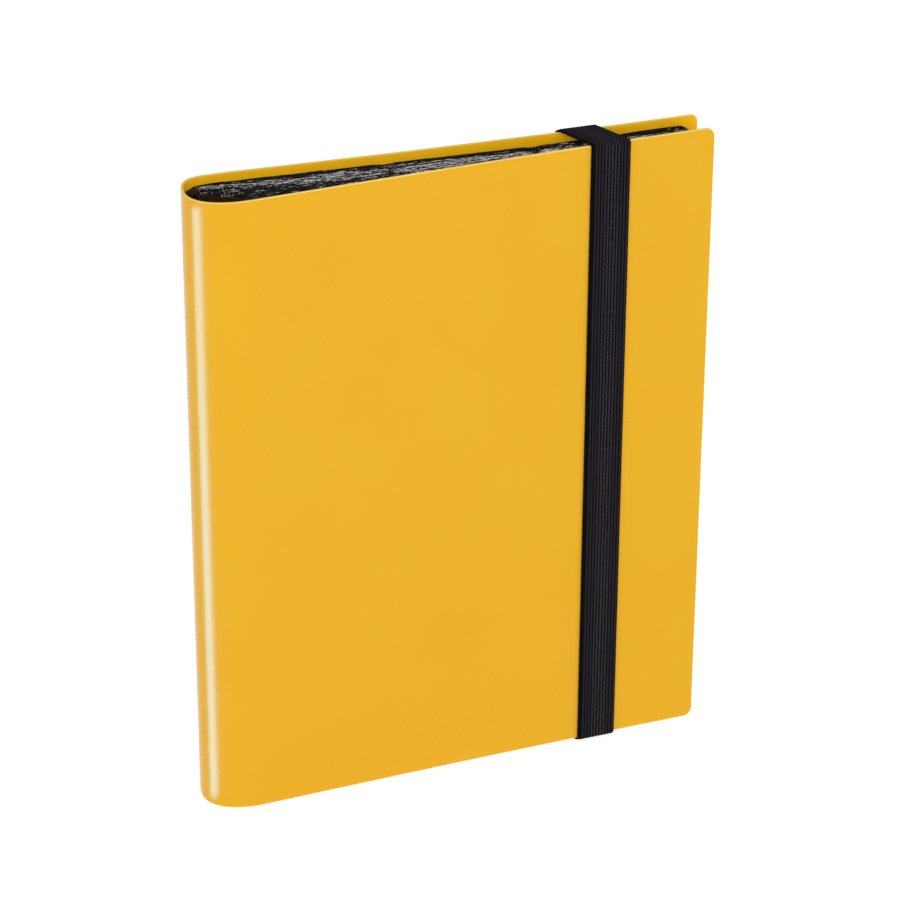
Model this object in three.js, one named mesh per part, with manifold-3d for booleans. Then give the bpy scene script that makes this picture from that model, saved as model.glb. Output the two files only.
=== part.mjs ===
// A side-loading trading card binder, standing upright on its bottom edges and held shut by an elastic strap.
// Sizes are in millimetres, +Z is up. The spine faces -X, the front cover -Y and the back cover +Y.
// Everything is drawn from the spine's outer nose (x = 0) and the covers' bottom edge (z = 0); the last lines
// move the whole binder so that the frame's origin is at the middle of its foot.
import * as THREE from 'three';
import { mergeVertices } from 'three/addons/utils/BufferGeometryUtils.js';
import Module from 'manifold-3d';

const wasm = await Module();
wasm.setup();

// ---- Driving dimensions ----
const HEIGHT = 318;              // covers, bottom edge to top edge
const FRONT_REACH = 248;         // spine's nose to the front cover's fore edge
const BACK_REACH = 246;          // spine's nose to the back cover's fore edge
const WALL = 1.2;                // thickness of the cover sheet
const GAP = 0.3;                 // running gap between neighbouring pieces

const SPINE_HALF = 16.3;         // half the thickness of the shut binder at the spine
const SPINE_DEPTH = 25;          // nose to the place where the rounded spine has turned into the front cover
const SPINE_ROUNDNESS = 2.2;     // power of the superellipse that the front half of the spine follows
const BACK_SPINE_DEPTH = 13;     // the same for the back half, which turns more tightly
const BACK_SPINE_ROUNDNESS = 2.5;
const FORE_HALF = 8.6;           // half the thickness of the shut binder at the fore edge
const FRONT_BOW = 1.4;           // power of the front cover's taper from the spine to the fore edge
const BACK_BOW = 1.8;            // the same for the back cover, which bows a little more
const FRONT_CORNER = 4.5;        // radius of the front cover's fore corners
const BACK_CORNER = 3.5;         // radius of the back cover's fore corners
const COVER_LEAN = 0.024;        // slope of both covers where the strap crosses them

const FOLD_TURN = 37;            // degrees round the spine's section from its nose to each fold line
const FOLD_GAP_TURN = 1;         // degrees left open at each fold line

const LEAF_COUNT = 20;
const LEAF_LENGTH = 232;         // root to fore edge, along the leaf
const LEAF_INSET = 3.8;          // covers' edges to the leaves' edges, at the top and at the bottom
const LEAF_CORNER = 3;
const SHEET = 0.24;              // a leaf's backing sheet with its empty pockets pressed flat
const LEAF_THICK = 0.4;          // a leaf over its pockets

// The leaves' roots lie on an arc round the front of the binding bar, which sits towards the back cover.
const ROOT_CENTRE = { x: 5.4, y: 9 };
const ROOT_RADIUS = 4.55;
const ROOT_TURN = 60;            // degrees from the arc's middle to the outermost roots

// The leaves are straight between their seams. At each seam the stack reaches from the front y to the back y.
// It leaves a hollow beside the front cover near the spine, and room at the back for the strap's ends.
const SEAMS = [
  { x: 27, front: -4.2, back: 14.3 },
  { x: 96, front: -10.8, back: 10.3 },
  { x: 165, front: -8.3, back: 6.6 },
  { x: 238, front: -6.4, back: 5.7 },
];
const POCKET_ROWS = 3;
const ROW_PITCH = 96;
const POCKET_WIDTH = 66.5;
const POCKET_HEIGHT = 93.5;
const POCKET_MARGIN = 1.3;       // a seam to the pocket beside it

const STRAP_WIDTH = 19;
const STRAP_THICK = 1;
const STRAP_FRONT_X = 196.7;     // middle of the strap where it crosses the front cover
const STRAP_BACK_X = 186.9;      // middle of the strap where it lies on the back cover
const STRAP_BEND = 1.4;          // radius of the strap's middle where it turns over the covers' edges
const TAIL_THICK = 0.6;
const TAIL_LENGTH = 22;          // part of each strap end that lies inside the back cover
const SLOT_INSET = 15;           // covers' edges to the slots for the strap's ends
const SLOT_HEIGHT = 1.5;
const SLOT_WIDTH = 20.2;
const PATCH_THICK = 0.25;
const PATCH_WIDTH = 27;
const PATCH_HEIGHT = 28;
const PATCH_GAP = 0.15;
const PATCH_OVERLAP = 2;         // how far a patch reaches past its slot towards the edge

const FOOT = STRAP_THICK + GAP;  // height of the covers' bottom edge over the strap's lower face

// ---- Materials ----
const coverSheet = () => new THREE.MeshStandardMaterial({ color: 0xeeb62f, roughness: 0.42, metalness: 0 });
const pageFilm = () => new THREE.MeshStandardMaterial({ color: 0x101012, roughness: 0.3, metalness: 0 });
const barPlastic = () => new THREE.MeshStandardMaterial({ color: 0x17171a, roughness: 0.5, metalness: 0 });
const elastic = () => new THREE.MeshStandardMaterial({ color: 0x1d1a20, roughness: 0.85, metalness: 0 });
const patchFilm = () => new THREE.MeshStandardMaterial({ color: 0x222226, roughness: 0.5, metalness: 0 });

// ---- Small tools ----
const radians = THREE.MathUtils.degToRad;

// Closed geometry to a solid for cutting and joining.
function toSolid(geometry) {
  const bare = geometry.clone();
  bare.deleteAttribute('normal');
  bare.deleteAttribute('uv');
  const merged = mergeVertices(bare, 1e-4);
  const mesh = new wasm.Mesh({
    numProp: 3,
    vertProperties: merged.attributes.position.array,
    triVerts: merged.index.array,
  });
  return new wasm.Manifold(mesh);
}

// Solid back to a geometry for a mesh.
function toGeometry(solid) {
  const mesh = solid.getMesh();
  const geometry = new THREE.BufferGeometry();
  geometry.setAttribute('position', new THREE.BufferAttribute(mesh.vertProperties, 3));
  geometry.setIndex(new THREE.BufferAttribute(mesh.triVerts, 1));
  geometry.computeVertexNormals();
  return geometry;
}

function named(name, geometry, material) {
  const mesh = new THREE.Mesh(geometry, material);
  mesh.name = name;
  return mesh;
}

// Curve moved sideways: to its left when the distance is positive.
function offset(points, distance) {
  return points.map((point, i) => {
    const before = points[Math.max(i - 1, 0)];
    const after = points[Math.min(i + 1, points.length - 1)];
    const along = after.clone().sub(before).normalize();
    return new THREE.Vector2(point.x - along.y * distance, point.y + along.x * distance);
  });
}

// Strip of sheet that lies to the left of a curve.
function band(points, thickness) {
  return new THREE.Shape([...points, ...offset(points, thickness).reverse()]);
}

const upright = (shape, height) => new THREE.ExtrudeGeometry(shape, { depth: height, bevelEnabled: false });

// Outline drawn as x and z, made a thickness deep and centred on y = 0.
function standing(shape, thickness) {
  const geometry = upright(shape, thickness);
  geometry.translate(0, 0, -thickness / 2);
  geometry.rotateX(Math.PI / 2);
  return geometry;
}

// Rectangle from x = from to x = to and z = 0 to height, with its corners rounded on the +X side only.
function roundedForeEdge(from, to, height, radius) {
  const shape = new THREE.Shape();
  shape.moveTo(from, 0);
  shape.lineTo(to - radius, 0);
  shape.absarc(to - radius, radius, radius, -Math.PI / 2, 0);
  shape.lineTo(to, height - radius);
  shape.absarc(to - radius, height - radius, radius, 0, Math.PI / 2);
  shape.lineTo(from, height);
  shape.closePath();
  return new THREE.Shape(shape.extractPoints(6).shape);
}

// ---- The cover's section, seen from above ----
// Each half of the spine is a quarter of a superellipse. Its turn runs from 0 at the nose to 90 at the cover.
function spinePoint(turn, side) {
  const depth = side > 0 ? BACK_SPINE_DEPTH : SPINE_DEPTH;
  const power = 2 / (side > 0 ? BACK_SPINE_ROUNDNESS : SPINE_ROUNDNESS);
  const x = depth * (1 - Math.cos(radians(turn)) ** power);
  return new THREE.Vector2(x, side * SPINE_HALF * Math.sin(radians(turn)) ** power);
}

// Half thickness of the shut binder at x, over a cover that tapers with this bow.
function coverHalf(x, bow) {
  const along = (x - SPINE_DEPTH) / (FRONT_REACH - SPINE_DEPTH);
  return FORE_HALF + (SPINE_HALF - FORE_HALF) * (1 - along) ** bow;
}

// A cover's outer line, from its fold line round the spine's corner to its fore edge.
function coverLine(side, reach, bow) {
  const points = [];
  const cornerSteps = 9;
  const flatSteps = 9;
  const firstTurn = FOLD_TURN + FOLD_GAP_TURN;
  for (let i = 0; i < cornerSteps; i += 1) {
    points.push(spinePoint(firstTurn + ((90 - firstTurn) * i) / cornerSteps, side));
  }
  if (side > 0) points.push(new THREE.Vector2(BACK_SPINE_DEPTH, SPINE_HALF));
  for (let i = 0; i <= flatSteps; i += 1) {
    const x = SPINE_DEPTH + ((reach - SPINE_DEPTH) * i) / flatSteps;
    points.push(new THREE.Vector2(x, side * coverHalf(x, bow)));
  }
  return points;
}

// ---- Covers and spine ----
function coverSolid(side, reach, bow, corner) {
  const sheet = toSolid(upright(band(coverLine(side, reach, bow), -side * WALL), HEIGHT));
  const outline = toSolid(standing(roundedForeEdge(-10, reach, HEIGHT, corner), 4 * SPINE_HALF));
  return sheet.intersect(outline);
}

const slotHeights = [SLOT_INSET, HEIGHT - SLOT_INSET];

function frontCover() {
  return named('front_cover', toGeometry(coverSolid(-1, FRONT_REACH, FRONT_BOW, FRONT_CORNER)), coverSheet());
}

function backCover() {
  let solid = coverSolid(1, BACK_REACH, BACK_BOW, BACK_CORNER);
  for (const height of slotHeights) {
    const slot = new THREE.BoxGeometry(SLOT_WIDTH, 4 * WALL, SLOT_HEIGHT);
    slot.translate(STRAP_BACK_X, coverHalf(STRAP_BACK_X, BACK_BOW) - WALL / 2, height);
    solid = solid.subtract(toSolid(slot));
  }
  return named('back_cover', toGeometry(solid), coverSheet());
}

function spineLine(lastTurn, steps) {
  const points = [];
  for (let i = -steps; i <= steps; i += 1) {
    points.push(spinePoint((lastTurn * Math.abs(i)) / steps, Math.sign(i)));
  }
  return points;
}

function spineCover() {
  return named('spine_cover', upright(band(spineLine(FOLD_TURN, 7), -WALL), HEIGHT), coverSheet());
}

// ---- Binding bar: a block inside the spine, round in front, that the leaves' roots are welded to ----
const leafHeight = HEIGHT - 2 * LEAF_INSET;

// Point on an arc round the roots' centre, at a turn in degrees from straight ahead.
function rootPoint(turn, radius) {
  const angle = radians(turn);
  const arm = new THREE.Vector2(Math.cos(angle), Math.sin(angle)).multiplyScalar(radius);
  return arm.add(ROOT_CENTRE);
}

function bindingBar() {
  const steps = 8;
  const section = [];
  const spineInside = offset(spineLine(FOLD_TURN - 3, 12), -WALL - GAP);
  for (const point of spineInside) {
    if (point.y > ROOT_CENTRE.y - ROOT_RADIUS) section.push(point);
  }
  for (let i = 0; i <= steps; i += 1) {
    section.push(rootPoint(ROOT_TURN * (1 - (2 * i) / steps), ROOT_RADIUS - GAP));
  }
  const bar = named('binding_bar', upright(new THREE.Shape(section), leafHeight), barPlastic());
  bar.position.z = LEAF_INSET;
  return bar;
}

// ---- Leaves: a backing sheet with three rows of three pockets on each face ----
// Middle line of a leaf from its root to its fore edge. The share is 0 by the front cover and 1 by the back.
function leafLine(share) {
  const points = [rootPoint(ROOT_TURN * (2 * share - 1), ROOT_RADIUS)];
  let left = LEAF_LENGTH;
  SEAMS.forEach((seam, i) => {
    const from = points[points.length - 1];
    const to = new THREE.Vector2(seam.x, THREE.MathUtils.lerp(seam.front, seam.back, share));
    const last = i === SEAMS.length - 1;
    const length = last ? left : from.distanceTo(to);
    points.push(to.sub(from).setLength(length).add(from));
    left -= length;
  });
  return points;
}

function leafGeometry(line) {
  const sheet = new THREE.Shape([...offset(line, -SHEET / 2), ...offset(line, SHEET / 2).reverse()]);
  const foreEdge = line[line.length - 1].x;
  const outline = standing(roundedForeEdge(0, foreEdge, leafHeight, LEAF_CORNER), 4 * SPINE_HALF);
  let solid = toSolid(upright(sheet, leafHeight)).intersect(toSolid(outline));
  const lowest = leafHeight / 2 - ((POCKET_ROWS - 1) * ROW_PITCH) / 2;
  for (let column = 1; column < line.length - 1; column += 1) {
    const along = line[column + 1].clone().sub(line[column]).normalize();
    const middle = line[column].clone().addScaledVector(along, POCKET_MARGIN + POCKET_WIDTH / 2);
    for (let row = 0; row < POCKET_ROWS; row += 1) {
      const pocket = new THREE.BoxGeometry(POCKET_WIDTH, LEAF_THICK, POCKET_HEIGHT);
      pocket.rotateZ(along.angle());
      pocket.translate(middle.x, middle.y, lowest + row * ROW_PITCH);
      solid = solid.add(toSolid(pocket));
    }
  }
  return toGeometry(solid);
}

// Leaf 1 lies next to the front cover.
function leaves() {
  const group = new THREE.Group();
  group.position.z = LEAF_INSET;
  for (let i = 0; i < LEAF_COUNT; i += 1) {
    const name = `leaf_${String(i + 1).padStart(2, '0')}`;
    group.add(named(name, leafGeometry(leafLine(i / (LEAF_COUNT - 1))), pageFilm()));
  }
  return group;
}

// ---- Strap: over the top edge, down the front cover and back underneath ----
const strapFrontY = coverHalf(STRAP_FRONT_X, FRONT_BOW) + GAP;
const strapBackY = coverHalf(STRAP_BACK_X, BACK_BOW) + GAP;

// Inner line of a quarter turn of the strap, drawn as y and z. The turn starts at this angle, in degrees.
function strapCorner(y, z, startAngle) {
  const radius = STRAP_BEND - STRAP_THICK / 2;
  const steps = 3;
  const points = [];
  for (let i = 0; i <= steps; i += 1) {
    const angle = radians(startAngle + (90 * i) / steps);
    points.push(new THREE.Vector2(y + radius * Math.cos(angle), z + radius * Math.sin(angle)));
  }
  return points;
}

function elasticStrap() {
  const inset = STRAP_BEND - STRAP_THICK / 2;
  const backEnd = strapBackY + STRAP_THICK;
  const inner = [
    new THREE.Vector2(backEnd, HEIGHT + GAP),
    ...strapCorner(-strapFrontY + inset, HEIGHT + GAP - inset, 90),
    ...strapCorner(-strapFrontY + inset, -GAP + inset, 180),
    new THREE.Vector2(backEnd, -GAP),
  ];
  const profile = upright(band(inner, -STRAP_THICK), STRAP_WIDTH);
  const place = profile.attributes.position;
  // The strap crosses the edges at a slant, and its front run lies flat on the tapering cover.
  const slant = (STRAP_BACK_X - STRAP_FRONT_X) / (strapFrontY + strapBackY);
  for (let i = 0; i < place.count; i += 1) {
    const y = place.getX(i);
    const z = place.getY(i);
    const side = place.getZ(i) - STRAP_WIDTH / 2;
    const lean = (-y / strapFrontY) * COVER_LEAN * side;
    place.setXYZ(i, STRAP_FRONT_X + slant * (y + strapFrontY) + side, y + lean, z);
  }
  return named('elastic_strap', profile, elastic());
}

// ---- Strap ends: along the back cover, in through its slot and on inside, under a welded patch ----
// Drawn on the outer face of the cover: x along it, y out of it and z away from the nearest edge.
function strapEnd(name, height, turnedOver) {
  const group = new THREE.Group();
  group.position.set(STRAP_BACK_X, coverHalf(STRAP_BACK_X, BACK_BOW), height);
  group.rotation.set(0, turnedOver ? Math.PI : 0, turnedOver ? COVER_LEAN : -COVER_LEAN);

  const inside = -WALL - GAP;
  const half = TAIL_THICK / 2;
  const tailShape = new THREE.Shape([
    new THREE.Vector2(GAP + STRAP_THICK, -SLOT_INSET),
    new THREE.Vector2(GAP + STRAP_THICK, half),
    new THREE.Vector2(inside, half),
    new THREE.Vector2(inside, TAIL_LENGTH),
    new THREE.Vector2(inside - TAIL_THICK, TAIL_LENGTH),
    new THREE.Vector2(inside - TAIL_THICK, -half),
    new THREE.Vector2(GAP, -half),
    new THREE.Vector2(GAP, -SLOT_INSET),
  ]);
  const tailProfile = upright(tailShape, STRAP_WIDTH);
  tailProfile.translate(0, 0, -STRAP_WIDTH / 2);
  // The drawing's x, y and depth become y, z and x.
  const turned = new THREE.Matrix4().makeBasis(
    new THREE.Vector3(0, 1, 0),
    new THREE.Vector3(0, 0, 1),
    new THREE.Vector3(1, 0, 0),
  );
  tailProfile.applyMatrix4(turned);
  const tail = named(`strap_tail_${name}`, tailProfile, elastic());

  const patch = named(
    `strap_patch_${name}`,
    new THREE.BoxGeometry(PATCH_WIDTH, PATCH_THICK, PATCH_HEIGHT),
    patchFilm(),
  );
  patch.position.set(0, inside - TAIL_THICK - PATCH_GAP - PATCH_THICK / 2, PATCH_HEIGHT / 2 - PATCH_OVERLAP);

  group.add(tail, patch);
  return group;
}

// ---- The binder ----
const binder = new THREE.Group();
binder.add(frontCover(), backCover(), spineCover(), bindingBar(), leaves(), elasticStrap());
binder.add(strapEnd('lower', slotHeights[0], false), strapEnd('upper', slotHeights[1], true));
binder.position.set(-FRONT_REACH / 2, 0, FOOT);

const root = new THREE.Group();
root.add(binder);

export default root;
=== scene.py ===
# The looks of a side-loading trading card binder, standing upright and held shut by an elastic strap.
# Shapes are drawn in millimetres from the spine's outer nose (x = 0) and the covers' bottom edge (z = 0),
# with the front cover towards -y, and are put into the frame in metres, where the object's foot is at z = 0.
import math

import bmesh
import bpy
from mathutils import Matrix, Vector, noise


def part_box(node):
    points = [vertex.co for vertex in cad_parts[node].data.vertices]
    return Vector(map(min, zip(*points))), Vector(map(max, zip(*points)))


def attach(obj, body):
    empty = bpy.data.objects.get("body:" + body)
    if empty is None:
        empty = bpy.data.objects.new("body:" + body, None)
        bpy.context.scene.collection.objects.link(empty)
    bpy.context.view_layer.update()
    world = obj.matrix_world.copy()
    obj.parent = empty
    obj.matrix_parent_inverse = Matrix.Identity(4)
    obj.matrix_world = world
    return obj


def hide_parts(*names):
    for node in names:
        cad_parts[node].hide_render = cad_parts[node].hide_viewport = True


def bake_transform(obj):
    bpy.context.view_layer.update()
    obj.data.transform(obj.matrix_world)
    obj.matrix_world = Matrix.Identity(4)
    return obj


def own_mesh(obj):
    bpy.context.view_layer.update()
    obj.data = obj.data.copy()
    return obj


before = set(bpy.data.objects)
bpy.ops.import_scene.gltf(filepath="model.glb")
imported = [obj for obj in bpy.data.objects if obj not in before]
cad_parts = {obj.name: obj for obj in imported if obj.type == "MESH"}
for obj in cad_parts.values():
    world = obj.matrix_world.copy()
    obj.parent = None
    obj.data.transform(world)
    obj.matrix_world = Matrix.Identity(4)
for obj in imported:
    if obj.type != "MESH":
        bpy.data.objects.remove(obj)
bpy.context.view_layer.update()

MM = 0.001

# ---- Dimensions: from the frame where a node's box gives them, else as in the part's source ----


def measured(node):
    low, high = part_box(node)
    return low / MM, high / MM


front_low, front_high = measured("front_cover")
back_high = measured("back_cover")[1]
leaf_low, leaf_high = measured("leaf_10")
strap_low, strap_high = measured("elastic_strap")

NOSE = measured("spine_cover")[0].x
FOOT = front_low.z
HEIGHT = front_high.z - front_low.z
FRONT_REACH = front_high.x - NOSE
BACK_REACH = back_high.x - NOSE
SPINE_HALF = back_high.y
LEAF_INSET = leaf_low.z - FOOT
LEAF_HEIGHT = leaf_high.z - leaf_low.z
STRAP_OUTER_Y = strap_low.y
STRAP_BACK_Y = strap_high.y

WALL = 1.2
GAP = 0.3
SPINE_DEPTH = 25
SPINE_ROUNDNESS = 2.2
BACK_SPINE_DEPTH = 13
BACK_SPINE_ROUNDNESS = 2.5
FORE_HALF = 8.6
FRONT_BOW = 1.4
BACK_BOW = 1.8
FRONT_CORNER = 4.5
BACK_CORNER = 3.5
FOLD_TURN = 37.5                  # turn from the spine's nose to each fold line, in degrees

LEAF_COUNT = 20
LEAF_LENGTH = 232
LEAF_CORNER = 3
ROOT_CENTRE = (5.4, 9.0)
ROOT_RADIUS = 4.55
ROOT_TURN = 60                    # the leaves' roots lie on an arc of this turn to each side
SEAM_X = (27, 96, 165, 238)       # the pocket seams and the stack's end
STACK_FRONT = (-4.2, -10.8, -8.3, -6.4)
STACK_BACK = (14.3, 10.3, 6.6, 5.7)
POCKET_ROWS = 3
ROW_PITCH = 96
POCKET_MARGIN = 1.3

STRAP_WIDTH = 19
STRAP_THICK = 1
STRAP_FRONT_X = 196.7
STRAP_BACK_X = 186.9
STRAP_BEND = 1.4
COVER_LEAN = 0.024                # slope of the tapering covers under the strap
TAIL_THICK = 0.6
TAIL_LENGTH = 22
SLOT_INSET = 15
SLOT_HEIGHT = 1.5
SLOT_WIDTH = 20.2


def in_frame(x, y, z):
    return Vector(((x + NOSE) * MM, y * MM, (z + FOOT) * MM))


# ---- Small tools ----


def lerp(a, b, t):
    return a + (b - a) * t


def clamp(value, low=0.0, high=1.0):
    return max(low, min(high, value))


def smooth(t):
    t = clamp(t)
    return t * t * (3 - 2 * t)


def wave(seed, *place):
    """Smooth noise from -1 to 1 at a place, different for each seed."""
    x, y, z = (list(place) + [0, 0])[:3]
    return noise.noise(Vector((x + 17.3 * seed, y - 9.1 * seed, z + 5.7 * seed)))


def spaced(start, end, step):
    """Values from start to end, end left out, about a step apart."""
    count = max(1, round((end - start) / step))
    return [lerp(start, end, i / count) for i in range(count)]


def through(knots, values, x):
    """Smooth curve through the knots' values (a Hermite curve with the neighbours' slopes)."""
    last = len(knots) - 1
    i = next((k for k in range(last) if x <= knots[k + 1]), last - 1)

    def slope(k):
        before, after = max(k - 1, 0), min(k + 1, last)
        return (values[after] - values[before]) / (knots[after] - knots[before])

    span = knots[i + 1] - knots[i]
    t = (x - knots[i]) / span
    return (
        values[i] * (2 * t**3 - 3 * t**2 + 1)
        + values[i + 1] * (3 * t**2 - 2 * t**3)
        + span * slope(i) * (t**3 - 2 * t**2 + t)
        + span * slope(i + 1) * (t**3 - t**2)
    )


def mesh_object(name, points, faces, materials, kinds=None, uvs=None, sharp=50):
    """Object from points in metres.

    kinds gives each face's material, and uvs gives each point's place on its surface.
    """
    data = bpy.data.meshes.new(name)
    data.from_pydata(points, [], faces)
    for material in materials:
        data.materials.append(material)
    if kinds:
        data.polygons.foreach_set("material_index", kinds)
    if uvs:
        layer = data.uv_layers.new(name="surface")
        for loop in data.loops:
            layer.data[loop.index].uv = uvs[loop.vertex_index]
    shape = bmesh.new()
    shape.from_mesh(data)
    bmesh.ops.recalc_face_normals(shape, faces=shape.faces)
    shape.to_mesh(data)
    shape.free()
    data.shade_smooth()
    data.set_sharp_from_angle(angle=math.radians(sharp))
    obj = bpy.data.objects.new(name, data)
    bpy.context.scene.collection.objects.link(obj)
    return obj


# ---- Materials ----


class Nodes:
    """A material's node tree, with short calls to add nodes and link them."""

    def __init__(self, name, **sockets):
        self.material = bpy.data.materials.new(name)
        self.material.use_nodes = True
        self.tree = self.material.node_tree
        self.shader = self.tree.nodes["Principled BSDF"]
        for socket, value in sockets.items():
            self.shader.inputs[socket.replace("_", " ")].default_value = value
        self.place = self.add("ShaderNodeTexCoord").outputs["Object"]

    def add(self, kind, settings=None, **links):
        node = self.tree.nodes.new(kind)
        for key, value in (settings or {}).items():
            setattr(node, key, value)
        for socket, value in links.items():
            self.set(node.inputs[socket.replace("_", " ")], value)
        return node

    def set(self, socket, value):
        if isinstance(value, bpy.types.NodeSocket):
            self.tree.links.new(value, socket)
        else:
            socket.default_value = value

    def surface(self):
        return self.add("ShaderNodeUVMap", {"uv_map": "surface"}).outputs["UV"]

    def stretched(self, vector, scale):
        return self.add("ShaderNodeMapping", Vector=vector, Scale=scale).outputs["Vector"]

    def noise(self, vector, scale, detail=2.0, roughness=0.5):
        node = self.add("ShaderNodeTexNoise", Vector=vector, Scale=scale, Detail=detail, Roughness=roughness)
        return node.outputs["Fac"]

    def maths(self, operation, a, b=0.0):
        node = self.tree.nodes.new("ShaderNodeMath")
        node.operation = operation
        self.set(node.inputs[0], a)
        self.set(node.inputs[1], b)
        return node.outputs[0]

    def ramp(self, value, low, high, to_low=0.0, to_high=1.0):
        node = self.add(
            "ShaderNodeMapRange", Value=value, From_Min=low, From_Max=high, To_Min=to_low, To_Max=to_high
        )
        return node.outputs["Result"]

    def blended(self, share, first, second):
        node = self.tree.nodes.new("ShaderNodeMix")
        node.data_type = "RGBA"
        self.set(node.inputs["Factor"], share)
        self.set(node.inputs["A"], first)
        self.set(node.inputs["B"], second)
        return node.outputs["Result"]

    def colour(self, value):
        self.set(self.shader.inputs["Base Color"], value)

    def roughness(self, value):
        self.set(self.shader.inputs["Roughness"], value)

    def bump(self, height, distance, strength=1.0):
        """Surface detail. The distance is in metres."""
        before = self.shader.inputs["Normal"]
        links = {"Height": height, "Distance": distance, "Strength": strength}
        node = self.add("ShaderNodeBump", **links)
        if before.is_linked:
            self.set(node.inputs["Normal"], before.links[0].from_socket)
        self.set(before, node.outputs["Normal"])


def rgb(red, green, blue):
    """Colour from sRGB values of 0 to 255."""

    def linear(value):
        value /= 255
        return value / 12.92 if value <= 0.04045 else ((value + 0.055) / 1.055) ** 2.4

    return (linear(red), linear(green), linear(blue), 1.0)


def cover_material(name, light, dark, roughness, grain, painted_glow=0.0):
    """Satin polypropylene sheet with a fine grain and a faint cloudiness. The painted glow is painted light:
    the sheet gives off its light colour, so it looks more brightly lit.
    """
    nodes = Nodes(name, Roughness=roughness, IOR=1.49, Emission_Strength=painted_glow)
    nodes.shader.inputs["Specular IOR Level"].default_value = 0.13
    nodes.shader.inputs["Emission Color"].default_value = light
    cloud = nodes.noise(nodes.place, 18.0, 3.0)
    speck = nodes.noise(nodes.place, 1400.0, 2.0)
    nodes.colour(nodes.blended(nodes.ramp(cloud, 0.3, 0.7), dark, light))
    nodes.roughness(nodes.ramp(speck, 0.3, 0.7, roughness - 0.04, roughness + 0.06))
    nodes.bump(speck, grain)
    return nodes.material


def film_material(name):
    """Clear glossy film over black sheet, with soft ripples and faint rub marks."""
    nodes = Nodes(name, IOR=1.5, Coat_Weight=0.3, Coat_Roughness=0.08)
    ripple = nodes.noise(nodes.stretched(nodes.place, (1.0, 1.0, 0.35)), 70.0, 2.0)
    rub = nodes.noise(nodes.place, 420.0, 4.0, 0.65)
    nodes.colour(nodes.blended(nodes.ramp(rub, 0.45, 0.8), rgb(10, 10, 12), rgb(26, 25, 29)))
    nodes.roughness(nodes.ramp(rub, 0.3, 0.75, 0.16, 0.34))
    nodes.bump(ripple, 0.0006)
    return nodes.material


def film_edge_material(name):
    """Cut and welded edges of the film: painted highlights, as near-white streaks that also glow, where the
    edges would catch the light, and black in between.

    The surface map holds the distance from the root in mm and the leaf's share across the stack. Painted
    shade keeps the leaves by the back cover, and those beside the hollow behind the front cover, dark, and
    fewer painted streaks show near the fore edge.
    """
    nodes = Nodes(name, Roughness=0.5, IOR=1.5, Emission_Strength=0.1)
    nodes.shader.inputs["Specular IOR Level"].default_value = 0.06
    where = nodes.add("ShaderNodeSeparateXYZ", Vector=nodes.surface())
    along, share = where.outputs["X"], where.outputs["Y"]
    long_streaks = nodes.noise(nodes.stretched(nodes.place, (0.3, 4.0, 1.0)), 420.0, 3.0, 0.75)
    short_streaks = nodes.noise(nodes.stretched(nodes.place, (0.6, 5.0, 1.0)), 1000.0, 2.0, 0.65)
    # Painted shade: hollow and rim mark where the shaded leaves begin; front and back cut their streaks so
    # they stay dark.
    hollow = nodes.ramp(along, 20.0, 150.0, 0.5, 0.28)
    rim = nodes.ramp(along, 120.0, 170.0, 0.75, 0.63)
    front = nodes.ramp(nodes.maths("SUBTRACT", share, hollow), -0.06, 0.12, -0.12, 0.01)
    back = nodes.ramp(nodes.maths("SUBTRACT", share, rim), 0.0, 0.14, 0.0, -0.17)
    fore = nodes.ramp(along, 192.0, 206.0, 0.0, -0.05)
    kept = nodes.maths("ADD", long_streaks, nodes.maths("ADD", fore, nodes.maths("ADD", front, back)))
    # Painted highlight: where the streak noise passes, the edge turns near white.
    long_light = nodes.ramp(kept, 0.44, 0.5)
    bright = nodes.maths("MULTIPLY", long_light, nodes.ramp(short_streaks, 0.45, 0.51))
    film = nodes.blended(bright, rgb(4, 4, 5), rgb(255, 252, 255))
    nodes.colour(film)
    # Painted glow: the streaks also give off their own colour, with no lamp.
    nodes.set(nodes.shader.inputs["Emission Color"], film)
    nodes.bump(short_streaks, 0.0003)
    return nodes.material


def satin_black(name, shade, roughness, grain_scale):
    nodes = Nodes(name, Roughness=roughness, IOR=1.48)
    nodes.shader.inputs["Specular IOR Level"].default_value = 0.15
    grain = nodes.noise(nodes.place, grain_scale, 3.0)
    lift = rgb(*(value + 12 for value in shade))
    nodes.colour(nodes.blended(nodes.ramp(grain, 0.35, 0.8), rgb(*shade), lift))
    nodes.bump(grain, 0.0001)
    return nodes.material


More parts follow.
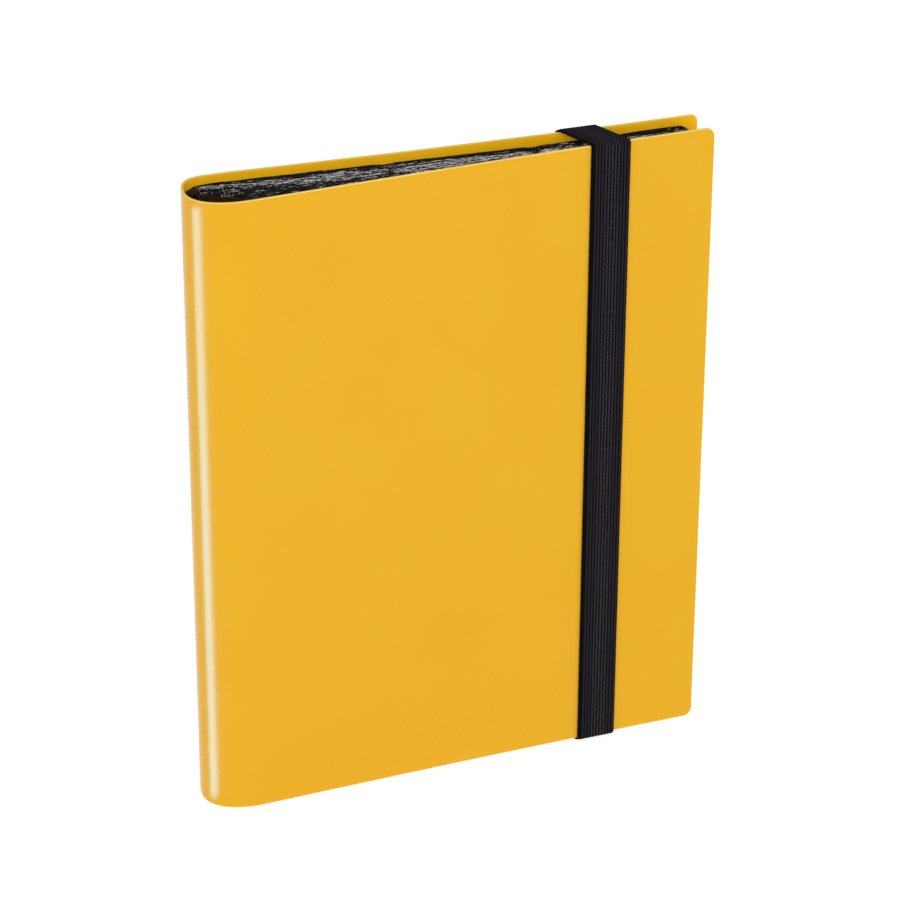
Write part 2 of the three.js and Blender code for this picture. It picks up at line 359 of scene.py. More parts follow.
def elastic_material(name):
    """Knitted elastic: each rib is a column of fine slanting stitches. Painted shade darkens the yarn between
    the stitches, the grooves between the ribs and the strap's edges.

    The surface map holds the places across and along the strap, in mm.
    """
    nodes = Nodes(name, Roughness=0.9, IOR=1.4, Sheen_Weight=0.03, Sheen_Roughness=0.5)
    nodes.shader.inputs["Sheen Tint"].default_value = rgb(150, 145, 170)
    nodes.shader.inputs["Specular IOR Level"].default_value = 0.12
    where = nodes.surface()
    across = nodes.add("ShaderNodeSeparateXYZ", Vector=where)
    from_first = nodes.maths("ADD", across.outputs["X"], STRAP_WIDTH / 2 - SELVEDGE)
    from_groove = nodes.maths("PINGPONG", from_first, RIB_PITCH / 2)
    climb = nodes.maths("ADD", across.outputs["Y"], nodes.maths("MULTIPLY", from_groove, 0.9))
    stitch = nodes.maths("SINE", nodes.maths("MULTIPLY", climb, 2 * math.pi / STITCH_PITCH))
    fuzz = nodes.noise(where, 3.2, 3.0, 0.7)
    patches = nodes.noise(nodes.place, 60.0, 2.0)
    yarn = nodes.blended(nodes.ramp(patches, 0.35, 0.65), rgb(54, 50, 57), rgb(56, 53, 64))
    # Painted shade: the yarn darkens between the stitches.
    stitch_shaded = nodes.blended(nodes.ramp(stitch, -1.0, 1.0, 0.0, 0.7), yarn, rgb(22, 20, 25))
    # Light flecks show on the middle ribs.
    from_middle = nodes.maths("ABSOLUTE", nodes.maths("SUBTRACT", across.outputs["X"], 0.5))
    loose = nodes.ramp(from_middle, 2.6, 4.4, 1.0, 0.0)
    fleck = nodes.noise(nodes.stretched(where, (2.6, 1.0, 1.0)), 1.25, 1.0, 0.5)
    flecks = nodes.maths("MULTIPLY", nodes.ramp(fleck, 0.54, 0.64), loose)
    flecked = nodes.blended(flecks, stitch_shaded, rgb(96, 93, 100))
    furred = nodes.blended(nodes.ramp(fuzz, 0.55, 0.8, 0.0, 0.3), flecked, rgb(60, 58, 63))
    # Painted shade: the grooves between the ribs are darkened to near black.
    ribbed = nodes.blended(nodes.ramp(from_groove, 0.2, 0.62), rgb(1, 1, 2), furred)
    # Painted shade: the selvedge and border along the strap's edges are darkened to near black.
    ends = nodes.maths("ABSOLUTE", nodes.maths("SUBTRACT", across.outputs["X"], (SELVEDGE - BORDER) / 2))
    nodes.colour(nodes.blended(nodes.ramp(ends, RIB_COUNT * RIB_PITCH / 2, 8.6), ribbed, rgb(2, 1, 2)))
    nodes.bump(stitch, 0.00012)
    nodes.bump(fuzz, 0.00015)
    return nodes.material


RIB_COUNT = 11
SELVEDGE = 1.4                    # flat strip along the strap's edge that lies towards the spine
BORDER = 0.5
RIB_PITCH = (STRAP_WIDTH - SELVEDGE - BORDER) / RIB_COUNT
STITCH_PITCH = 0.55

cover_outside = cover_material("cover_outside", rgb(226, 171, 31), rgb(224, 168, 26), 0.28, 0.00003)
# Painted light: the inside gets a brighter yellow than the outside and a faint glow, to lift its shaded face.
cover_inside = cover_material("cover_inside", rgb(244, 186, 22), rgb(241, 182, 18), 0.45, 0.00006, 0.12)
# The edges' pale colour is partly the cut edge's own lighter tone and partly a painted highlight along the
# lips.
cover_edge = cover_material("cover_edge", rgb(255, 222, 128), rgb(248, 204, 88), 0.45, 0.00006)
page_film = film_material("page_film")
page_edge = film_edge_material("page_edge")
page_weld = satin_black("page_weld", (44, 44, 48), 0.3, 500.0)
binding_plastic = satin_black("binding_plastic", (3, 3, 4), 0.6, 900.0)
patch_film = satin_black("patch_film", (26, 26, 29), 0.42, 700.0)
strap_elastic = elastic_material("strap_elastic")

# ---- Sheets with a rounded edge ----

EDGE_TURNS = (0, 30, 60, 90)


def rounded_edge(thickness, edge):
    """(inset from the outline, depth) over a sheet's edge, from the outer face to the inner face."""
    outer = []
    for turn in EDGE_TURNS:
        angle = math.radians(turn)
        outer.append((edge * (1 - math.sin(angle)), edge * (1 - math.cos(angle))))
    return outer + [(inset, thickness - depth) for inset, depth in reversed(outer)]


def sheet(
    name, length, height, thickness, edge, corner, stations, rows, place, materials, share=None, welded=None
):
    """Upright sheet with rounded edges and rounded fore corners, flat at its root (along = 0).

    Stations are distances along it and rows are shares of its height. place(along, up, depth) gives the
    point, with depth 0 at the outer face. The materials are those of the outer face, the inner face and the
    edge. The surface map holds the distance along and the share, when there is one, or else the height. Where
    welded(along, up) is true the faces are of the last material.
    """
    arc = [("arc", 90 * i / 6) for i in range(7)]
    columns = [("flat", along) for along in stations if along < length - corner - 0.01] + arc
    last_column = len(columns) - 1
    last_row = len(rows) - 1
    points, uvs, faces, kinds = [], [], [], []

    def add(column, row, inset, depth):
        kind, value = columns[column]
        low = inset
        along = value
        if kind == "arc":
            angle = math.radians(value)
            along = length - corner + (corner - inset) * math.sin(angle)
            low = corner - (corner - inset) * math.cos(angle)
        up = lerp(low, height - low, rows[row])
        points.append(place(along, up, depth))
        uvs.append((along, up if share is None else share))
        return len(points) - 1

    def kind_at(column, row, kind):
        here, there = columns[column], columns[column + 1]
        if welded is None or "arc" in (here[0], there[0]):
            return kind
        middle = height * (rows[row] + rows[row + 1]) / 2
        return len(materials) - 1 if welded((here[1] + there[1]) / 2, middle) else kind

    def grid(depth, kind):
        face = [[add(c, r, edge, depth) for r in range(last_row + 1)] for c in range(last_column + 1)]
        for c in range(last_column):
            for r in range(last_row):
                faces.append((face[c][r], face[c + 1][r], face[c + 1][r + 1], face[c][r + 1]))
                kinds.append(kind_at(c, r, kind))
        return face

    outer = grid(0, 0)
    inner = grid(thickness, 1)
    ring = [(c, 0) for c in range(last_column + 1)]
    ring += [(last_column, r) for r in range(1, last_row + 1)]
    ring += [(c, last_row) for c in range(last_column - 1, -1, -1)]
    layers = [[outer[c][r] for c, r in ring]]
    for inset, depth in rounded_edge(thickness, edge)[1:-1]:
        layers.append([add(c, r, inset, depth) for c, r in ring])
    layers.append([inner[c][r] for c, r in ring])
    for upper, lower in zip(layers, layers[1:]):
        for i in range(len(ring) - 1):
            faces.append((upper[i], upper[i + 1], lower[i + 1], lower[i]))
            kinds.append(2)
    root = outer[0] + [layer[-1] for layer in layers[1:-1]]
    root += inner[0][::-1] + [layer[0] for layer in layers[-2:0:-1]]
    faces.append(tuple(root))
    kinds.append(2)
    return mesh_object(name, points, faces, materials, kinds, uvs)


# ---- Covers ----


def spine_point(turn, side):
    """Point of the rounded spine at a turn from its nose. Each half is a quarter of a superellipse."""
    depth = BACK_SPINE_DEPTH if side > 0 else SPINE_DEPTH
    power = 2 / (BACK_SPINE_ROUNDNESS if side > 0 else SPINE_ROUNDNESS)
    x = depth * (1 - max(math.cos(math.radians(turn)), 0) ** power)
    return Vector((x, side * SPINE_HALF * math.sin(math.radians(turn)) ** power))


def cover_half(x, bow):
    """Half thickness of the shut binder at x, over a cover that tapers with this bow."""
    along = clamp((x - SPINE_DEPTH) / (FRONT_REACH - SPINE_DEPTH))
    return FORE_HALF + (SPINE_HALF - FORE_HALF) * (1 - along) ** bow


class Line:
    """Curve seen from above, by distance along it."""

    def __init__(self, points):
        self.points = points
        self.lengths = [0.0]
        for before, after in zip(points, points[1:]):
            self.lengths.append(self.lengths[-1] + (after - before).length)
        self.length = self.lengths[-1]

    def at(self, along):
        """Point and unit direction at a distance along the curve. It runs straight on past its ends."""
        low, high = 0, len(self.points) - 2
        while low < high:
            middle = (low + high) // 2
            if self.lengths[middle + 1] < along:
                low = middle + 1
            else:
                high = middle
        span = self.points[low + 1] - self.points[low]
        t = (along - self.lengths[low]) / span.length
        return self.points[low] + span * t, span.normalized()

    def eased(self, reach, step=0.5):
        """The same curve with its kinks rounded off over a reach to each side."""
        count = round(self.length / step)
        eased = []
        for i in range(count + 1):
            along = self.length * i / count
            room = min(reach, along, self.length - along)
            samples = [self.at(along + room * k / 4)[0] for k in range(-4, 5)]
            eased.append(sum(samples, Vector((0, 0))) / len(samples))
        return Line(eased)


def cover_line(side, reach, bow):
    points = [spine_point(90 * i / 150, side) for i in range(150)]
    if side > 0:
        points.append(Vector((BACK_SPINE_DEPTH, SPINE_HALF)))
    for i in range(101):
        x = lerp(SPINE_DEPTH, reach, i / 100)
        points.append(Vector((x, side * cover_half(x, bow))))
    return Line(points).eased(3.0)


def fold_distance(line, side):
    """Distance from the nose to the fold line."""
    fold = spine_point(FOLD_TURN, side)
    distances = [0.05 * i for i in range(600)]
    return min(distances, key=lambda along: abs(line.at(along)[0].x - fold.x))


def cover_skin(name, side, reach, bow, body):
    line = cover_line(side, reach, bow)
    corner = BACK_CORNER if side > 0 else FRONT_CORNER
    fold = fold_distance(line, side)
    length = line.length

    def place(along, up, depth):
        point, direction = line.at(clamp(along, 0.0, length))
        point += Vector((-direction.y, direction.x)) * (-side * depth)
        return in_frame(point.x, point.y, up)

    stations = spaced(0, 0.4, 0.4) + spaced(0.4, fold - 3, 0.8) + spaced(fold - 3, fold + 4, 0.35)
    stations += spaced(fold + 4, 42, 0.9) + spaced(42, length - corner, 4)
    rows = [0, 0.006, 0.02] + spaced(0.045, 0.955, 0.07) + [0.955, 0.98, 0.994, 1]
    materials = [cover_outside, cover_inside, cover_edge]
    skin = sheet(name, length, HEIGHT, WALL, 0.35, corner, stations, rows, place, materials)
    before, _ = line.at(fold - 2.6)
    after, _ = line.at(fold + 2.6)
    return skin, before, after, body


def cut_slots(skin):
    """Slots for the strap's ends, near the top and bottom edges of the back cover."""
    shape = bmesh.new()
    for height in (SLOT_INSET, HEIGHT - SLOT_INSET):
        y = cover_half(STRAP_BACK_X, BACK_BOW) - WALL / 2
        size = Matrix.Diagonal((SLOT_WIDTH * MM, 4 * WALL * MM, SLOT_HEIGHT * MM, 1))
        middle = Matrix.Translation(in_frame(STRAP_BACK_X, y, height))
        bmesh.ops.create_cube(shape, size=1, matrix=middle @ size)
    data = bpy.data.meshes.new("slots")
    shape.to_mesh(data)
    shape.free()
    data.materials.append(cover_edge)
    cutter = bpy.data.objects.new("slots", data)
    bpy.context.scene.collection.objects.link(cutter)
    cut = skin.modifiers.new("slots", "BOOLEAN")
    cut.operation = "DIFFERENCE"
    cut.solver = "EXACT"
    cut.object = cutter
    cut.material_mode = "TRANSFER"
    bpy.context.view_layer.update()
    whole = skin.evaluated_get(bpy.context.evaluated_depsgraph_get())
    skin.data = bpy.data.meshes.new_from_object(whole)
    skin.modifiers.clear()
    bpy.data.objects.remove(cutter)


def make_covers():
    skins = [
        cover_skin("front_cover_skin", -1, FRONT_REACH, FRONT_BOW, "front"),
        cover_skin("back_cover_skin", 1, BACK_REACH, BACK_BOW, "back"),
    ]
    cut_slots(skins[1][0])
    for skin, before, after, body in skins:
        start = in_frame(before.x, before.y, 0)
        end = in_frame(after.x, after.y, 0)
        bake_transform(skin)
    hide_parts("front_cover", "spine_cover")
    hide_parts("back_cover")


# ---- Leaves ----

SHEET_HALF = 0.1
WELD_HALF = 0.19
MOUTH_STEP = 0.05


def root_point(share):
    angle = math.radians(ROOT_TURN * (2 * share - 1))
    x, y = ROOT_CENTRE
    return Vector((x + ROOT_RADIUS * math.cos(angle), y + ROOT_RADIUS * math.sin(angle)))


def stack_y(x, share):
    """Place of a leaf across the stack. Past the strap's ends the stack's back eases towards the cover."""
    ease = 0.9 * smooth((x - 201) / 18)
    return lerp(through(SEAM_X, STACK_FRONT, x), through(SEAM_X, STACK_BACK, x) + ease, share)


def leaf_pitch(x):
    """Room that each leaf has in the stack at x."""
    if x < SEAM_X[0]:
        return lerp(0.5, 0.92, clamp(x / SEAM_X[0]))
    return (stack_y(x, 1) - stack_y(x, 0)) / (LEAF_COUNT - 1)


def leaf_line(share):
    """Middle line of a leaf. The share is 0 by the front cover and 1 by the back one."""
    root = root_point(share)
    first = Vector((SEAM_X[0], stack_y(SEAM_X[0], share)))
    away = Vector((lerp(12, 18, share), lerp(-1, 5, share)))
    into = Vector((1, stack_y(SEAM_X[0] + 1, share) - stack_y(SEAM_X[0], share))) * 20
    points = []
    for i in range(24):
        t = i / 24
        points.append(
            root * (2 * t**3 - 3 * t**2 + 1)
            + first * (3 * t**2 - 2 * t**3)
            + away * (t**3 - 2 * t**2 + t)
            + into * (t**3 - t**2)
        )
    for i in range(110):
        x = SEAM_X[0] + 2 * i
        points.append(Vector((x, stack_y(x, share))))
    return Line(points)


def seam_distances(line):
    """Distances along a leaf to its seams, found where it passes their x."""
    seams = []
    for x in SEAM_X[:3]:
        low, high = 0.0, line.length
        for _ in range(30):
            middle = (low + high) / 2
            if line.at(middle)[0].x < x:
                low = middle
            else:
                high = middle
        seams.append(low)
    return seams


class Leaf:
    """Shape of one leaf: slightly open pockets, pinched at their welds, with wavy top and bottom edges."""

    def __init__(self, number):
        self.seed = number
        self.share = (number - 1) / (LEAF_COUNT - 1)
        self.line = leaf_line(self.share)
        self.seams = seam_distances(self.line)
        self.mouths = [seam + POCKET_MARGIN for seam in self.seams]
        self.rows = [LEAF_HEIGHT / 2 + ROW_PITCH * (k - (POCKET_ROWS - 1) / 2) for k in range(POCKET_ROWS)]

    def stations(self):
        first = self.seams[0]
        stations = spaced(0, first - 1, 2)
        ends = self.seams[1:] + [LEAF_LENGTH - LEAF_CORNER]
        for seam, mouth, end in zip(self.seams, self.mouths, ends):
            stations += [seam - 0.9, seam - 0.3, seam + 0.3, mouth, mouth + MOUTH_STEP]
            stations += spaced(mouth + 0.8, end - 1.2, 2.7)
        return stations

    def welded(self, along, up):
        """Whether the place lies on a weld line beside or between the pockets."""
        if along < self.seams[0] - 1:
            return False
        column = max(k for k in range(3) if along >= self.seams[k] - 1)
        nearest = min(abs(up - middle) for middle in self.rows)
        return along < self.mouths[column] or nearest > ROW_PITCH / 2 - 1.3

    def half(self, along, up):
        """Half of the leaf's thickness."""
        if along < self.seams[0]:
            return lerp(0.08, SHEET_HALF + 0.02, smooth(along / 14))
        column = max(k for k in range(3) if along >= self.seams[k])
        if self.seams[column] + 0.1 < along < self.mouths[column] + MOUTH_STEP / 2:
            return SHEET_HALF
        start = self.mouths[column]
        end = self.seams[column + 1] - 0.9 if column < 2 else LEAF_LENGTH - 1.2
        u = clamp((along - start) / (end - start))
        row = min(self.rows, key=lambda middle: abs(up - middle))
        v = clamp(0.5 + (up - row) / (ROW_PITCH - 2.5))
        x = self.line.at(along)[0].x
        room = leaf_pitch(x) / 2 - WELD_HALF - 0.03
        swell = smooth(min(1.0, (1 - u) * 9)) * (0.35 + 0.65 * smooth(u * 6)) * smooth(min(v, 1 - v) * 14)
        mood = 0.82 + 0.18 * wave(self.seed, along / 30, up / 40, column)
        pinch = 0.5 * math.exp(-((min(along - self.seams[column], end - along) / 2.5) ** 2))
        return WELD_HALF * (1 - pinch) + max(room, 0.0) * swell * mood

    def place(self, along, up, depth):
        point, direction = self.line.at(along)
        normal = Vector((-direction.y, direction.x))
        ends = min(up, LEAF_HEIGHT - up)
        loose = smooth((along - 4) / 20)
        seam = min(abs(along - s) for s in self.seams[1:])
        free = max(leaf_pitch(point.x) / 2 - WELD_HALF - 0.04, 0.0)
        ripple = wave(self.seed, along / 11, up / 60) + 0.5 * wave(self.seed + 40, along / 4.5)
        shift = free * 0.8 * ripple * math.exp(-ends / 6) * loose
        sag = 0.3 * (1 + wave(self.seed + 80, along / 13)) + 0.5 * math.exp(-((seam / 3.2) ** 2))
        sag *= loose * math.exp(-ends / 14)
        height = up - math.copysign(sag, up - LEAF_HEIGHT / 2)
        point = point + normal * (shift + depth)
        return in_frame(point.x, point.y, height + LEAF_INSET)


def make_leaf(number):
    leaf = Leaf(number)
    rows = []
    for k in range(POCKET_ROWS):
        low = leaf.rows[k] - ROW_PITCH / 2
        high = leaf.rows[k] + ROW_PITCH / 2
        for share in (0.0, 0.012, 0.03, 0.07, 0.2, 0.4, 0.6, 0.8, 0.93, 0.97, 0.988):
            rows.append(lerp(low, high, share))
    rows = [0.0, 0.004] + [row / LEAF_HEIGHT for row in rows[1:] if 2 < row < LEAF_HEIGHT - 2] + [0.996, 1.0]
    thickness = 1.0

    def place(along, up, depth):
        return leaf.place(along, up, (depth / thickness * 2 - 1) * leaf.half(along, up))

    materials = [page_film, page_film, page_edge, page_weld]
    name = f"page_{number:02d}"
    size = (LEAF_LENGTH, LEAF_HEIGHT, thickness, 0.1, LEAF_CORNER)
    obj = sheet(name, *size, leaf.stations(), rows, place, materials, leaf.share, leaf.welded)
    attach(obj, name)
    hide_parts(f"leaf_{number:02d}")


# ---- Binding bar ----


def make_bar():
    """Moulded block inside the spine with softened ends and the leaves' weld ridges round its front."""
    section = []
    line = Line([spine_point((FOLD_TURN - 4) * abs(i) / 30, (i > 0) - (i < 0)) for i in range(-30, 31)])
    for i in range(61):
        point, direction = line.at(line.length * i / 60)
        point = point + Vector((direction.y, -direction.x)) * (WALL + GAP)
        if point.y > ROOT_CENTRE[1] - ROOT_RADIUS:
            section.append(point)
    steps = 4 * LEAF_COUNT
    for i in range(steps + 1):
        angle = math.radians(ROOT_TURN * (1 - 2 * i / steps))
        radius = ROOT_RADIUS - GAP - 0.12 * (1 + math.cos(2 * math.pi * i * LEAF_COUNT / steps)) / 2
        section.append(Vector(ROOT_CENTRE) + Vector((math.cos(angle), math.sin(angle))) * radius)
    middle = sum(section, Vector((0, 0))) / len(section)
    profile = [(0.9, 0.0), (0.96, 0.12), (0.99, 0.4), (1.0, 0.9)]
    top = LEAF_INSET + LEAF_HEIGHT
    levels = [(share, LEAF_INSET + rise) for share, rise in profile]
    levels += [(1.0, lerp(LEAF_INSET + 0.9, top - 0.9, i / 12)) for i in range(1, 12)]
    levels += [(share, top - rise) for share, rise in reversed(profile)]
    points = []
    for share, height in levels:
        points += [in_frame(*(middle + (point - middle) * share), height) for point in section]
    count = len(section)
    faces = [tuple(range(count))[::-1], tuple(range(count * (len(levels) - 1), count * len(levels)))]
    for level in range(len(levels) - 1):
        for i in range(count):
            low, next_low = level * count + i, level * count + (i + 1) % count
            faces.append((low, next_low, next_low + count, low + count))
    bar = mesh_object("binding_block", points, faces, [binding_plastic])
    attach(bar, "spine")
    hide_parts("binding_bar")


# ---- Strap ----

RIB_SIDES = 6


def rib_section(thickness):
    """The strap's section: (across, out, rib) round it, with the ribs on its outer side first."""
    half = STRAP_WIDTH / 2
    outer = thickness / 2
    points = [(-half, 0.0, -1), (-half + 0.12, outer - 0.3, -1), (-half + SELVEDGE - 0.1, outer - 0.26, -1)]
    for rib in range(RIB_COUNT):
        for k in range(RIB_SIDES):
            t = (k + 0.5) / RIB_SIDES
            across = -half + SELVEDGE + RIB_PITCH * (rib + t)
            bulge = math.sqrt(1 - (2 * t - 1) ** 2 * 0.96)
            points.append((across, outer - 0.3 * (1 - bulge), rib))
    points += [(half - BORDER + 0.1, outer - 0.28, -1), (half - 0.1, outer - 0.32, -1), (half, 0.0, -1)]
    points.append((half - 0.12, -outer + 0.08, -1))
    for rib in range(RIB_COUNT - 1, -1, -1):
        for t, rise in ((0.85, 0.12), (0.5, 0.0), (0.15, 0.12)):
            across = -half + SELVEDGE + RIB_PITCH * (rib + t)
            points.append((across, -outer + rise, rib))
    points.append((-half + 0.12, -outer + 0.08, -1))
    return points


def rib_wander(across, rib, along):
    """Sideways wander of the ribs: nearly none at the edges, more towards the middle."""
    edge = 0.05 * wave(3, along / 14)
    if rib < 0:
        return edge
    middle = math.exp(-(((rib - 5.2) / 2.6) ** 2))
    return edge + 0.16 * middle * wave(rib + 5, along / 3.4) + 0.05 * wave(rib + 30, along / 9)


def strap_length(name, stations, place, thickness=STRAP_THICK, closed_ends=True):
    """Length of ribbed elastic. place(along, across, out) gives the point for each station along it."""
    section = rib_section(thickness)
    count = len(section)
    points, uvs, faces = [], [], []
    for along in stations:
        for across, out, rib in section:
            points.append(place(along, across + rib_wander(across, rib, along), out))
            uvs.append((across, along))
    for row in range(len(stations) - 1):
        for i in range(count):
            low, next_low = row * count + i, row * count + (i + 1) % count
            faces.append((low, next_low, next_low + count, low + count))
    if closed_ends:
        faces += [tuple(range(count))[::-1], tuple(range(count * (len(stations) - 1), count * len(stations)))]
    return mesh_object(name, points, faces, [strap_elastic], uvs=uvs, sharp=80)


class Path:
    """Route of the strap's middle in y and z: straight runs joined by quarter turns, by distance along it."""

    def __init__(self, y, z, heading):
        self.y, self.z, self.heading = y, z, math.radians(heading)
        self.samples = [(0.0, y, z, self.heading)]

    def run(self, length, steps=1):
        for _ in range(steps):
            along = self.samples[-1][0] + length / steps
            self.y += math.cos(self.heading) * length / steps
            self.z += math.sin(self.heading) * length / steps
            self.samples.append((along, self.y, self.z, self.heading))
        return self

    def turn(self, degrees, radius, steps=8):
        step = math.radians(degrees) / steps
        for _ in range(steps):
            chord = 2 * radius * math.sin(abs(step) / 2)
            self.y += math.cos(self.heading + step / 2) * chord
            self.z += math.sin(self.heading + step / 2) * chord
            self.heading += step
            self.samples.append((self.samples[-1][0] + chord, self.y, self.z, self.heading))
        return self

    def at(self, along):
        for before, after in zip(self.samples, self.samples[1:]):
            if along <= after[0] + 1e-6:
                t = clamp((along - before[0]) / (after[0] - before[0]))
                return [lerp(a, b, t) for a, b in zip(before[1:], after[1:])]
        return list(self.samples[-1][1:])

    @property
    def stations(self):
        return [sample[0] for sample in self.samples]


STRAP_FRONT_Y = STRAP_OUTER_Y + STRAP_THICK / 2
strap_slant = (STRAP_BACK_X - STRAP_FRONT_X) / (STRAP_BACK_Y - STRAP_THICK / 2 - STRAP_FRONT_Y)
top_middle = HEIGHT + GAP + STRAP_THICK / 2
bottom_middle = -GAP - STRAP_THICK / 2


def strap_place(path, mirrored=False):
    """Puts a length of strap on its path. It crosses the edges at a slant and lies flat on the cover."""

    def place(along, across, out):
        y, z, heading = path.at(along)
        side = -1 if mirrored else 1
        y_out, z_out = -math.sin(heading) * side, math.cos(heading) * side
        y += y_out * out
        z += z_out * out
        x = STRAP_FRONT_X + strap_slant * (y - STRAP_FRONT_Y) + across
        lean = clamp(y / STRAP_FRONT_Y, -1, 1) * COVER_LEAN * across
        return in_frame(x, y + lean, z)

    return place


def make_strap():
    low, high = bottom_middle + STRAP_BEND, top_middle - STRAP_BEND
    front = Path(STRAP_FRONT_Y, low, 90).run(high - low, 220)
    run = strap_length("strap_front_run", front.stations, strap_place(front), closed_ends=False)
    reach = STRAP_BACK_Y - 1.6 - (STRAP_FRONT_Y + STRAP_BEND)
    over = Path(STRAP_FRONT_Y, high, 90).turn(-90, STRAP_BEND).run(reach, 20)
    under = Path(STRAP_FRONT_Y, low, -90).turn(90, STRAP_BEND).run(reach, 20)
    top = strap_length("strap_top_wrap", over.stations, strap_place(over))
    bottom = strap_length("strap_bottom_wrap", under.stations, strap_place(under, mirrored=True))
    for piece in (run, top, bottom):
        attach(piece, "strap")
    for piece in (top, bottom):
        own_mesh(piece)
    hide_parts("elastic_strap")


def make_tail(name, turned_over):
    """Strap end: round the edge, along the back cover, in through its slot and on inside."""
    surface = cover_half(STRAP_BACK_X, BACK_BOW)
    outside = surface + GAP + STRAP_THICK / 2
    inside = surface - WALL - GAP - TAIL_THICK / 2
    path = Path(outside - STRAP_BEND, bottom_middle, 0).turn(90, STRAP_BEND)
    bend = 0.75
    path.run(SLOT_INSET - path.z - bend, 12)
    path.turn(90, bend, 6).run(outside - inside - 2 * bend, 2).turn(-90, bend, 6)
    path.run(TAIL_LENGTH - (path.z - SLOT_INSET), 14)

    def place(along, across, out):
        y, z, heading = path.at(along)
        y += math.sin(heading) * out
        z -= math.cos(heading) * out
        lean = -COVER_LEAN * across
        height = HEIGHT - z if turned_over else z
        return in_frame(STRAP_BACK_X + across, y + lean, height)

    tail = strap_length(f"strap_end_{name}", path.stations, place, TAIL_THICK)
    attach(tail, "back")
    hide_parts(f"strap_tail_{name}")


def make_patch(name):
    """Square of film welded over the strap's end, with a pressed weld line round it."""
    low, high = measured(f"strap_patch_{name}")
    width, height = high.x - low.x, high.z - low.z
    middle = (low + high) / 2
    thickness = 0.3
    weld = 1.6
    sides = 30

    def ring(inset, out, corner):
        points = []
        for quarter in range(4):
            for k in range(sides // 4 + 1):
                angle = math.radians(90 * quarter + 90 * k / (sides // 4))
                cx = math.copysign(width / 2 - inset - corner, math.cos(angle + 1e-6))
                cz = math.copysign(height / 2 - inset - corner, math.sin(angle + 1e-6))
                if k == sides // 4:
                    cx = math.copysign(width / 2 - inset - corner, math.cos(angle - 1e-3))
                    cz = math.copysign(height / 2 - inset - corner, math.sin(angle - 1e-3))
                across = cx + corner * math.cos(angle)
                up = cz + corner * math.sin(angle)
                y = middle.y - out - COVER_LEAN * across
                points.append(Vector((middle.x + across, y, middle.z + up)) * MM)
        return points

    half = thickness / 2
    rings = [ring(0.15, -half, 2.2), ring(0, -half + 0.1, 2.3)]
    rings += [ring(0, half - 0.12, 2.3), ring(0.12, half, 2.2)]
    rings += [ring(weld - 0.25, half, 1.6), ring(weld, half - 0.14, 1.5), ring(weld + 0.6, half - 0.14, 1.3)]
    rings += [ring(weld + 0.9, half, 1.2), ring(weld + 5, half + 0.02, 1.0)]
    count = len(rings[0])
    points = [point for each in rings for point in each]
    faces = [tuple(range(count))[::-1], tuple(range(count * (len(rings) - 1), count * len(rings)))]
    for level in range(len(rings) - 1):
        for i in range(count):
            low_i, next_i = level * count + i, level * count + (i + 1) % count
            faces.append((low_i, next_i, next_i + count, low_i + count))
    patch = mesh_object(f"weld_patch_{name}", points, faces, [patch_film], sharp=35)
    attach(patch, "back")
    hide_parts(f"strap_patch_{name}")


# ---- Camera, light and floor ----

VIEW_AZIMUTH = math.radians(19.2)
VIEW_ELEVATION = math.radians(29.28)
VIEW_ROLL = math.radians(0.34)
VIEW_DISTANCE = 1798
VIEW_AIM = (4.77, 1.1, 165.48)    # in mm, in the frame
LENS = 151.15
WORLD_LIGHT = 0.64
FLOOR_GLOW = 0.7
FLOOR_REACH = 12                  # in metres
FRONT_LIGHT = 20                  # in W
SPINE_LIGHT = 113                 # in W/m2
SPINE_LIGHT_AZIMUTH = math.radians(80)
SPINE_BRIGHT_CORNER = (2.9, -8.5)    # in mm, where the spine reflects that light to the camera
SPINE_LIGHT_GAP = 0.008           # from the spine's corner, in metres
SPINE_LIGHT_WIDTH = 0.0085
SPINE_LIGHT_ENDS = (0.0, 0.312)   # heights, in metres


def make_camera():
    a, e = VIEW_AZIMUTH, VIEW_ELEVATION
    forward = Vector((math.sin(a) * math.cos(e), math.cos(a) * math.cos(e), -math.sin(e)))
    right = forward.cross(Vector((0, 0, 1))).normalized()
    up = right.cross(forward)
    turned_right = math.cos(VIEW_ROLL) * right + math.sin(VIEW_ROLL) * up
    turned_up = math.cos(VIEW_ROLL) * up - math.sin(VIEW_ROLL) * right
    camera = bpy.data.objects.new("camera", bpy.data.cameras.new("camera"))
    place = (Vector(VIEW_AIM) - VIEW_DISTANCE * forward) * MM
    turn = Matrix((turned_right, turned_up, -forward)).transposed().to_4x4()
    camera.matrix_world = Matrix.Translation(place) @ turn
    camera.data.lens = LENS
    camera.data.sensor_width = 36
    camera.data.clip_end = 20
    bpy.context.scene.collection.objects.link(camera)
    bpy.context.scene.camera = camera


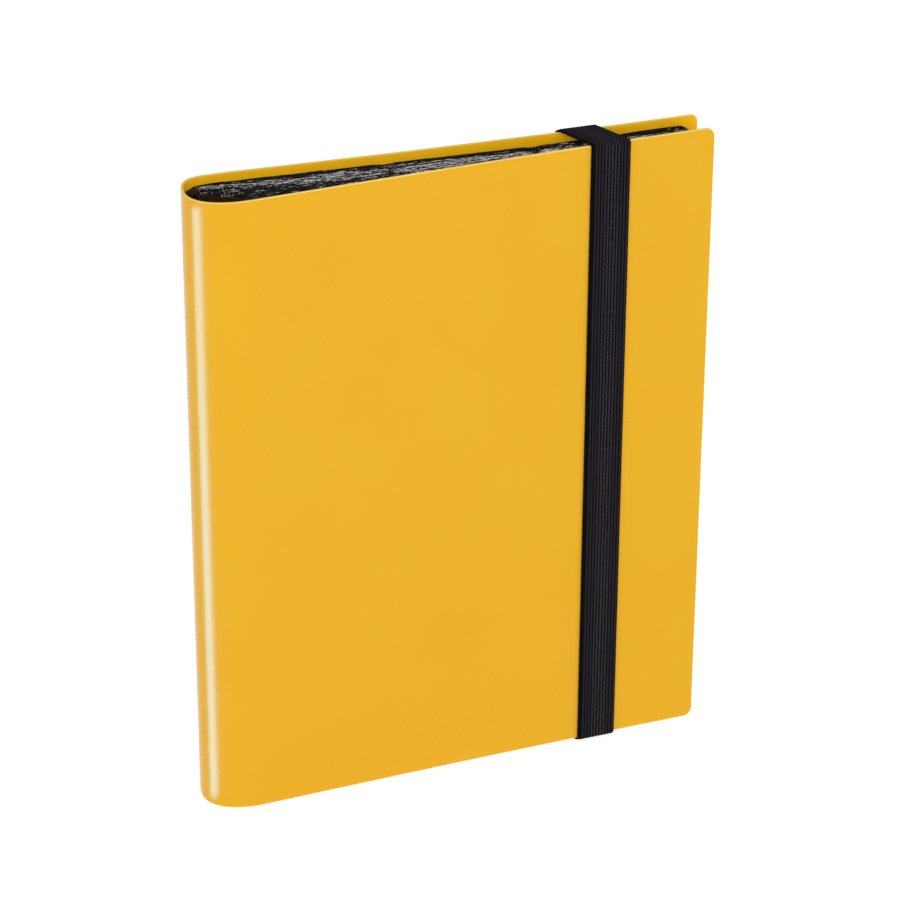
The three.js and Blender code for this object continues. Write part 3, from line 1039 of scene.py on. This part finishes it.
def soft_light(name, place, aim, size, power):
    """Rectangular light, its place and aim in metres."""
    data = bpy.data.lights.new(name, "AREA")
    data.shape = "RECTANGLE"
    data.size, data.size_y = size
    data.energy = power
    light = bpy.data.objects.new(name, data)
    facing = (Vector(aim) - Vector(place)).to_track_quat("-Z", "Y").to_matrix().to_4x4()
    light.matrix_world = Matrix.Translation(place) @ facing
    bpy.context.scene.collection.objects.link(light)
    return light


def make_studio():
    scene = bpy.context.scene
    scene.view_settings.view_transform = "Standard"
    scene.world = bpy.data.worlds.new("studio")
    scene.world.use_nodes = True
    background = scene.world.node_tree.nodes["Background"]
    background.inputs["Color"].default_value = (1.0, 1.0, 1.0, 1.0)
    background.inputs["Strength"].default_value = WORLD_LIGHT
    white = Nodes("studio_white", Roughness=0.9, Emission_Strength=FLOOR_GLOW)
    white.shader.inputs["Emission Color"].default_value = (1.0, 1.0, 1.0, 1.0)
    white.shader.inputs["Specular IOR Level"].default_value = 0.0
    cloud = white.noise(white.place, 0.6)
    white.colour(white.blended(cloud, (0.6, 0.6, 0.6, 1), (0.62, 0.62, 0.62, 1)))
    reach = FLOOR_REACH
    corners = [(-reach, -reach, 0), (reach, -reach, 0), (reach, reach, 0), (-reach, reach, 0)]
    floor = mesh_object("floor", corners, [(0, 1, 2, 3)], [white.material])
    soft_light("front_light", (-0.6, -2.2, 1.5), (0, 0, 0.16), (1.6, 1.6), FRONT_LIGHT)
    make_spine_light()


def make_spine_light():
    """Narrow upright light close beside the spine. Its reflection is the bright line down the corner."""
    outward = Vector((-math.sin(SPINE_LIGHT_AZIMUTH), -math.cos(SPINE_LIGHT_AZIMUTH), 0))
    corner = in_frame(*SPINE_BRIGHT_CORNER, 0)
    low, high = SPINE_LIGHT_ENDS
    place = Vector((corner.x, corner.y, (low + high) / 2)) + outward * SPINE_LIGHT_GAP
    size = (SPINE_LIGHT_WIDTH, high - low)
    power = SPINE_LIGHT * size[0] * size[1]
    light = soft_light("spine_light", place, place - outward, size, power)
    light.data.color = (0.04, 0.44, 1.0)
    light.visible_diffuse = False
    light.visible_camera = False


make_camera()
make_studio()
make_covers()
for number in range(1, LEAF_COUNT + 1):
    make_leaf(number)
make_bar()
make_strap()
for end_name, over_top in (("lower", False), ("upper", True)):
    make_tail(end_name, over_top)
    make_patch(end_name)
